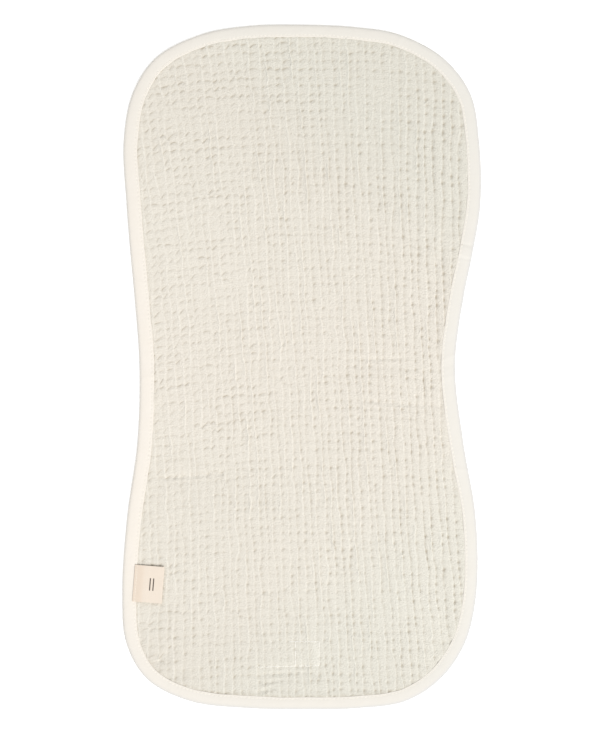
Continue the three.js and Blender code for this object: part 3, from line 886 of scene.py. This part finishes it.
def tape_lift(distance_in):
    """The lift of the tape's top at each station and place in the section, in millimetres."""
    station = np.arange(STATIONS)
    after, before = way_from(OVERLAP["to"]), way_from(OVERLAP["from"])
    doubled = OVERLAP["high"] * smoothstep(after, -0.6, 0.6) * (1 - smoothstep(before, -1.5, 1.5))
    doubled -= OVERLAP["crease"] * (bell(after + 0.8, 0.8) + bell(before - 1.2, 0.9))
    lift = np.repeat(doubled[:, None], len(distance_in), axis=1)
    for x, y, high, wide, slant in TAPE_WRINKLES:
        lift += high * bell(way_from((x, y))[:, None] + slant * (distance_in - 5), wide)
    dips = STITCH_DIP["deep"] * np.cos(2 * np.pi * station / STATIONS_PER_STITCH)[:, None]
    dips = dips * bell(distance_in - STITCH_IN, STITCH_DIP["wide"])
    slow = TAPE_WAVER["high"] * (round_uneven("tape height", station, TAPE_WAVER["waves"]) - 0.5)[:, None]
    return lift + dips + slow


top_share = smoothstep(tape_section[:, 1], 1.2, 2.6)
section_in = tape_section[:, 0] + reach[:, None] * smoothstep(tape_section[:, 0], 5, 9.5)
section_up = tape_section[:, 1] + tape_lift(tape_section[:, 0]) * top_share
plan = edge[:, None, :] + inward[:, None, :] * section_in[:, :, None]
tape_points = np.concatenate([plan, section_up[:, :, None]], axis=2)
around = len(tape_section)
number = np.arange(STATIONS * around).reshape(STATIONS, around)
ahead = np.roll(number, -1, axis=0)
tape_squares = np.stack([number, ahead, np.roll(ahead, -1, axis=1), np.roll(number, -1, axis=1)], axis=-1)
way_round = np.arange(STATIONS)[:, None] * step
way_across = np.concatenate([path_length, path_length[::-1]])
tape_uv = np.stack(np.broadcast_arrays(way_round, way_across[None, :]), axis=-1).reshape(-1, 2)

# %% [markdown]
# ## Smooth cotton tape
#
# Binding tape is a close plain weave cut on the bias, so that it bends round the curves without pleats. It is
# paler and smoother than the muslin, with a soft, faintly satiny surface. Its threads are about 0.35 mm apart
# and run at 45 degrees to the edge, so the weave reads the tape's own length and width, which the UV map holds
# in millimetres. That is half a pixel here, and only a faint unevenness of the pressing shows from above.
#
# The tape is greyer at the head, the foot and the right; at the head that grey is painted shade, where the tape
# slopes away from the light. Its folded nose is greyer again, a painted shade that depends on which way the edge
# faces and is strongest at the lower right. The folded inner rim is painted paler than the flat of the tape, a
# painted highlight on the fold.

# %% Finish the tape
TAPE_THREAD = 0.35
NOSE_SHADE = {"share": 0.45, "wide": 1.5, "towards": (0.5, -0.8)}
RIM_HIGHLIGHT = {"share": 0.5, "at": 9.6, "wide": 0.9}
# what each drift reads, the two places between which it changes, in metres, and its share at each of them
TAPE_DRIFTS = {
    "head": ("Y", 0.05, 0.24, 0.0, 0.55), "foot": ("Y", -0.13, -0.24, 0.0, 0.45),
    "from_left": ("X", -0.11, -0.03, 0.68, 1.0), "right": ("X", 0.05, 0.11, 0.0, 0.35)}


def tape_finish(name, colour, warm, thread, turned, end="c9cacb"):
    """Closely woven cotton tape. Its threads run along turned directions of the UV map, in millimetres, and it
    takes the end colour by the share that its point attribute gives: painted shade on the binding's nose, and
    the darker sewn end of the label."""
    made, tree, shader = new_finish(name, Roughness=0.85, IOR=1.5, Specular_IOR_Level=0.3, Sheen_Weight=0.1,
                                    Sheen_Roughness=0.5)
    object_place = add_node(tree, "TexCoord").outputs["Object"]
    cloth_place = add_node(tree, "UVMap", uv_map="cloth").outputs["UV"]
    turned_place = add_node(tree, "Mapping", {"Vector": cloth_place, "Rotation": (0, 0, turned)})
    weave = plain_weave(tree, turned_place.outputs["Vector"], [2 * math.pi / thread] * 2)
    pressing = add_node(tree, "TexNoise", {"Vector": object_place, "Scale": 1 / (9 * MM), "Detail": 4.0,
                                           "Roughness": 0.6}).outputs["Fac"]
    place = add_node(tree, "SeparateXYZ", {"Vector": object_place}).outputs
    drift = {key: add_node(tree, "MapRange", {"Value": place[way], "From Min": start, "From Max": end,
                                              "To Min": least, "To Max": most},
                           interpolation_type="SMOOTHSTEP").outputs["Result"]
             for key, (way, start, end, least, most) in TAPE_DRIFTS.items()}
    both_ends = add_node(tree, "Math", {0: drift["head"], 1: drift["foot"]}, operation="ADD").outputs[0]
    ends = add_node(tree, "Math", {0: both_ends, 1: drift["from_left"]}, operation="MULTIPLY").outputs[0]
    rim = add_node(tree, "Attribute", attribute_name="rim").outputs["Fac"]
    off_ends, off_rim = (add_node(tree, "Math", {0: 1.0, 1: share}, operation="SUBTRACT").outputs[0]
                         for share in (ends, rim))
    right = add_node(tree, "Math", {0: drift["right"], 1: off_ends}, operation="MULTIPLY").outputs[0]
    ends_share, right_share = (add_node(tree, "Math", {0: share, 1: off_rim}, operation="MULTIPLY").outputs[0]
                               for share in (ends, right))
    darkened = add_node(tree, "Attribute", attribute_name="darkened").outputs["Fac"]
    tone = add_node(tree, "Mix", {0: pressing, 6: linear(colour), 7: linear(warm)}, data_type="RGBA")
    for share, code in ((ends_share, "dfded8"), (right_share, "dde0dd"), (darkened, end)):
        tone = add_node(tree, "Mix", {0: share, 6: tone.outputs[2], 7: linear(code)}, data_type="RGBA")
    tree.links.new(tone.outputs[2], shader.inputs["Base Color"])
    woven = add_node(tree, "Bump", {"Height": weave, "Strength": 0.3, "Distance": 0.05 * MM})
    rumpled = add_node(tree, "Bump", {"Height": pressing, "Strength": 0.5, "Distance": 0.6 * MM,
                                      "Normal": woven.outputs["Normal"]})
    tree.links.new(rumpled.outputs["Normal"], shader.inputs["Normal"])
    return made


binding_cotton = tape_finish("plain_woven_bias_tape", "f1ebe3", "efe8de", TAPE_THREAD, math.radians(45))
# painted shade along the tape's nose, set by which way each stretch of edge faces, and a painted highlight on
# the folded inner rim
turned_away = 1 - inward @ NOSE_SHADE["towards"]
nose_shade = NOSE_SHADE["share"] * turned_away[:, None] * bell(tape_section[None, :, 0], NOSE_SHADE["wide"])
rim_highlight = RIM_HIGHLIGHT["share"] * bell(tape_section[None, :, 0] - RIM_HIGHLIGHT["at"], RIM_HIGHLIGHT["wide"])
rim_highlight = np.repeat(rim_highlight, STATIONS, axis=0)
binding = make_piece("edge_tape", tape_points.reshape(-1, 3), [tape_squares.reshape(-1, 4)], binding_cotton,
                     {"darkened": nose_shade.ravel(), "rim": rim_highlight.ravel()}, tape_uv)
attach(binding, "root")
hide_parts("edge_binding")

# %% [markdown]
# ## The care label
#
# The label is a narrow woven tape folded in two, with the fold on the right, and its two ends are sewn down on
# the binding at the left. It stands a little off the cloth, so its upper edge throws a small shadow. It is
# made as the binding is: a path with a thickness, this time carried down the label's height and closed at both
# ends. Two short plain bars of dark yarn are woven into its face.

# %% Fold the label
LABEL_STEPS = 28
FOLD_RADIUS = 0.21


def label_path():
    """The label's path across: in along the lower layer, round the fold on the right, and back above it."""
    half_width = LABEL["width"] / 2
    run = np.linspace(-half_width, half_width - FOLD_RADIUS - LABEL["thick"] / 2, 18)
    turn = np.linspace(-math.pi / 2, math.pi / 2, 9)[1:-1]
    low, high = LABEL["low"], LABEL["low"] + 2 * FOLD_RADIUS
    round_x, round_z = FOLD_RADIUS * np.cos(turn), FOLD_RADIUS * np.sin(turn)
    fold = np.column_stack([run[-1] + round_x, (low + high) / 2 + round_z])
    lower = np.column_stack([run, np.full(len(run), low)])
    upper = np.column_stack([run[::-1], np.full(len(run), high)])
    return np.vstack([lower, fold, upper])


def label_lift(across, along):
    """How far the label rises off its straight path. It is pulled down at its sewn end, bows up in the middle
    of its height, droops towards the fold, curls up at its upper right corner, and has a soft bend where it
    leaves the tape."""
    tall = 2 * along / LABEL["height"]
    wide = 2 * across / LABEL["width"]
    sewn_down = -0.26 * (1 - smoothstep(wide, -0.92, -0.5))
    bow = 0.14 * (1 - tall ** 2) * smoothstep(wide, -0.9, -0.3)
    droop = -0.22 * smoothstep(wide, -0.3, 0.3)
    curl = 0.32 * smoothstep(wide, -0.2, 1.0) * smoothstep(tall, 0.4, 1.0)
    bend = -0.12 * bell(across + 3.4, 1.2)
    return sewn_down + bow + droop + curl + bend


def turned_label(across, along, up):
    """Places on the label in the frame's x, y and z, in millimetres."""
    turn = math.radians(LABEL["turn"])
    x = LABEL["x"] + across * math.cos(turn) - along * math.sin(turn)
    y = LABEL["y"] + across * math.sin(turn) + along * math.cos(turn)
    return np.stack(np.broadcast_arrays(x, y, up + label_lift(across, along)), axis=-1)


label_route = label_path()
label_section = thickened(label_route, LABEL["thick"])
label_along = np.linspace(LABEL["height"] / 2, -LABEL["height"] / 2, LABEL_STEPS)
label_points = turned_label(label_section[None, :, 0], label_along[:, None], label_section[None, :, 1])
ring = len(label_section)
number = np.arange(LABEL_STEPS * ring).reshape(LABEL_STEPS, ring)
ahead = np.roll(number, -1, axis=1)
label_sides = np.stack([number[:-1], number[1:], ahead[1:], ahead[:-1]], axis=-1).reshape(-1, 4)
pairs = np.arange(ring // 2 - 1)
end = np.column_stack([pairs, pairs + 1, ring - 2 - pairs, ring - 1 - pairs])
label_faces = [label_sides, end, (end + number[-1, 0])[:, ::-1]]
label_length = walked_along(label_route)
label_half = np.concatenate([label_length, label_length[::-1]])
label_uv = np.stack(np.broadcast_arrays(label_half[None, :], label_along[:, None]), axis=-1).reshape(-1, 2)

# %% Finish and place the label
LABEL_THREAD = 0.3

label_weave = tape_finish("woven_label_tape", "ecdfd1", "eaddce", LABEL_THREAD, 0.0, end="e7d8c8")
# the label's sewn third is mixed towards a darker, peachier end colour
sewn_end = np.repeat(1 - smoothstep(label_section[None, :, 0], -5.4, -2.6), LABEL_STEPS, axis=0)
label = make_piece("folded_label", label_points.reshape(-1, 3), label_faces, label_weave,
                   {"darkened": sewn_end.ravel()}, label_uv)
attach(label, "root")
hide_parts("care_label")

# %% [markdown]
# ## Stitches
#
# A stitch is a short length of thread that comes up out of the cloth, lies on it and goes down again. Hundreds
# are needed, so each is a plain six-sided tube with only a few dozen faces: its ring shrinks and dips at both
# ends. One function makes a whole row from arrays of places and directions and one size of stitch.

# %% Make stitches
TUBE_SIDES = 6
# share of the half length, share of the radius, share of the dip
TUBE_RINGS = np.array([(-1, 0.45, 1), (-0.82, 0.95, 0.35), (0, 1, 0), (0.82, 0.95, 0.35), (1, 0.45, 1)], float)


def tube_faces(shape):
    """The faces of closed tubes, looking outwards: walls between the rings, and one face at each end. The
    points are numbered tube by tube, ring by ring."""
    number = np.arange(math.prod(shape)).reshape(shape)
    beside = np.roll(number, -1, axis=2)
    walls = np.stack([number[:, :-1], beside[:, :-1], beside[:, 1:], number[:, 1:]], axis=-1)
    return [walls.reshape(-1, 4), np.concatenate([number[:, 0, ::-1], number[:, -1]])]


def stitches(name, places, ways, size, finish, side=1):
    """A joined mesh of stitches. Each place is a stitch's middle in millimetres, each way its direction in plan,
    and the size holds its length, radius and dip. side is 1 on top of the cloth, where the ends dip down, and
    -1 underneath."""
    turn = np.arange(TUBE_SIDES) * 2 * math.pi / TUBE_SIDES
    across = np.column_stack([-ways[:, 1], ways[:, 0]])
    run = TUBE_RINGS[:, 0] * size["long"] / 2
    wide = np.outer(TUBE_RINGS[:, 1], np.cos(turn)) * size["radius"]
    up = np.outer(TUBE_RINGS[:, 1], np.sin(turn)) * size["radius"] - side * size["dip"] * TUBE_RINGS[:, 2:3]
    plan = (places[:, None, None, :2] + ways[:, None, None, :] * run[None, :, None, None]
            + across[:, None, None, :] * wide[None, :, :, None])
    height = places[:, 2][:, None, None] + up[None]
    points = np.concatenate([plan, height[..., None]], axis=-1)
    made = make_piece(name, points.reshape(-1, 3), tube_faces(points.shape[:3]), finish)
    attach(made, "root")
    return made


# %% [markdown]
# ## Cotton sewing thread
#
# The thread is twisted cotton in the cloth's own cream, smoother than the gauze, so a row of stitches shows
# mostly as small highlights and shadows. Its twist is a stripe that leans across the thread, about 0.4 mm from
# one turn to the next.

# %% Finish the thread
THREAD_TURN = 0.4


def thread_finish(name, colour):
    """Twisted cotton thread, with leaning stripes in Object coordinates."""
    made, tree, shader = new_finish(name, Base_Color=linear(colour), Roughness=0.7, IOR=1.5, Sheen_Weight=0.1)
    object_place = add_node(tree, "TexCoord").outputs["Object"]
    leaning = add_node(tree, "Mapping", {"Vector": object_place, "Rotation": (0.3, 0.2, math.radians(35))})
    twist = add_node(tree, "TexWave", {"Vector": leaning.outputs["Vector"], "Scale": 0.16 / (THREAD_TURN * MM),
                                       "Distortion": 0.5})
    bump = add_node(tree, "Bump", {"Height": twist.outputs["Fac"], "Strength": 0.3, "Distance": 0.06 * MM})
    tree.links.new(bump.outputs["Normal"], shader.inputs["Normal"])
    return made


cotton_thread = thread_finish("twisted_cotton_thread", "f7f3e9")

# %% Sew the binding
STITCH = {"long": 2.3, "radius": 0.17, "dip": 0.2, "level": 2.7, "under_level": 0.2}

sewn = np.arange(0, STATIONS, STATIONS_PER_STITCH)
row_places = edge[sewn] + inward[sewn] * (STITCH_IN + reach[sewn, None])
top_level = STITCH["level"] + tape_lift(np.array([STITCH_IN]))[sewn, 0]
top_row = stitches("binding_stitches_top", np.column_stack([row_places, top_level]), forward[sewn], STITCH,
                   cotton_thread)
under_level = np.full(len(sewn), STITCH["under_level"])
under_row = stitches("binding_stitches_under", np.column_stack([row_places, under_level]), forward[sewn],
                     STITCH, cotton_thread, side=-1)

# %% [markdown]
# ## The sewn rectangle
#
# Near the foot, straight rows of white stitches outline a small rectangle that is sewn through both plies.
# Its right end has a second row and a narrow raised strip. Each stitch takes its height from the nearest point
# of the crinkled face, so the row rides over the ridges as a real one does. Some rows sink in deeper than
# others, and the left half of the rectangle hardly shows. The same seam comes out underneath, in a slight
# hollow of the back.

# %% Sew the rectangle
PATCH_STITCH = {"pitch": 2.2, "long": 2.3, "radius": 0.23, "dip": 0.06, "under_level": 0.28}


def sewn_line(start, end, proud):
    """Stitch places, directions and heights over the face along a straight line, evenly spaced."""
    start, end = np.array(start, float), np.array(end, float)
    count = max(2, round(np.linalg.norm(end - start) / PATCH_STITCH["pitch"]))
    share = (np.arange(count) + 0.5)[:, None] / count
    way = (end - start) / np.linalg.norm(end - start)
    return start + (end - start) * share, np.repeat(way[None, :], count, axis=0), np.full(count, proud)


left, right, foot, top = (PATCH[key] for key in ("left", "right", "foot", "head"))
# from, to, and how far each row stands proud of the face
ROWS = [((left, foot - 1.1), (right, foot), -0.02), ((right, foot), (right, top), 0.05),
        ((right, top), (-9.1, top), 0.12), ((-9.1, top), (left, top - 0.4), -0.25),
        ((left, top - 0.4), (left, foot - 1.1), -0.25), ((-4.7, top), (-4.7, foot), -0.05)]
places, ways, proud = (np.concatenate(parts) for parts in zip(*(sewn_line(*line) for line in ROWS)))
levels = face_heights[nearest(places, face_places)] + proud
white_thread = thread_finish("white_cotton_thread", "fdfbf6")
rectangle = stitches("patch_stitches", np.column_stack([places, levels]), ways, PATCH_STITCH, white_thread)
under_places = np.column_stack([places, np.full(len(places), PATCH_STITCH["under_level"])])
rectangle_under = stitches("patch_stitches_under", under_places, ways, PATCH_STITCH, white_thread, side=-1)

# %% Sew down the label and weave its bars
LABEL_STITCH = {"in": 1.6, "pitch": 2.0, "long": 1.6, "radius": 0.13, "dip": 0.15}
LABEL_BARS = {"wide": 0.8, "long": 9.0, "thick": 0.06, "at": (1.2, 3.6), "steps": 16}

count = int(LABEL["height"] / LABEL_STITCH["pitch"])
along = (np.arange(count) + 0.5) / count * LABEL["height"] - LABEL["height"] / 2
label_top = LABEL["low"] + 2 * FOLD_RADIUS + LABEL["thick"] / 2
end_places = turned_label(np.full(count, LABEL_STITCH["in"] - LABEL["width"] / 2), along, label_top + 0.05)
turn = math.radians(LABEL["turn"])
end_ways = np.repeat([[-math.sin(turn), math.cos(turn)]], count, axis=0)
label_row = stitches("label_stitches", end_places, end_ways, LABEL_STITCH, cotton_thread)

bar_box = np.array([(-1, 0), (1, 0), (1, 1), (-1, 1)], float) * (LABEL_BARS["wide"] / 2, LABEL_BARS["thick"])
bar_along = np.linspace(LABEL_BARS["long"] / 2, -LABEL_BARS["long"] / 2, LABEL_BARS["steps"])
bar_up = label_top + bar_box[None, :, 1]
bar_points = np.stack([turned_label(at + bar_box[None, :, 0], bar_along[:, None], bar_up)
                       for at in LABEL_BARS["at"]])
dark_yarn = thread_finish("woven_dark_yarn", "4a4038")
bars = make_piece("label_bars", bar_points.reshape(-1, 3), tube_faces(bar_points.shape[:3]), dark_yarn)
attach(bars, "root")
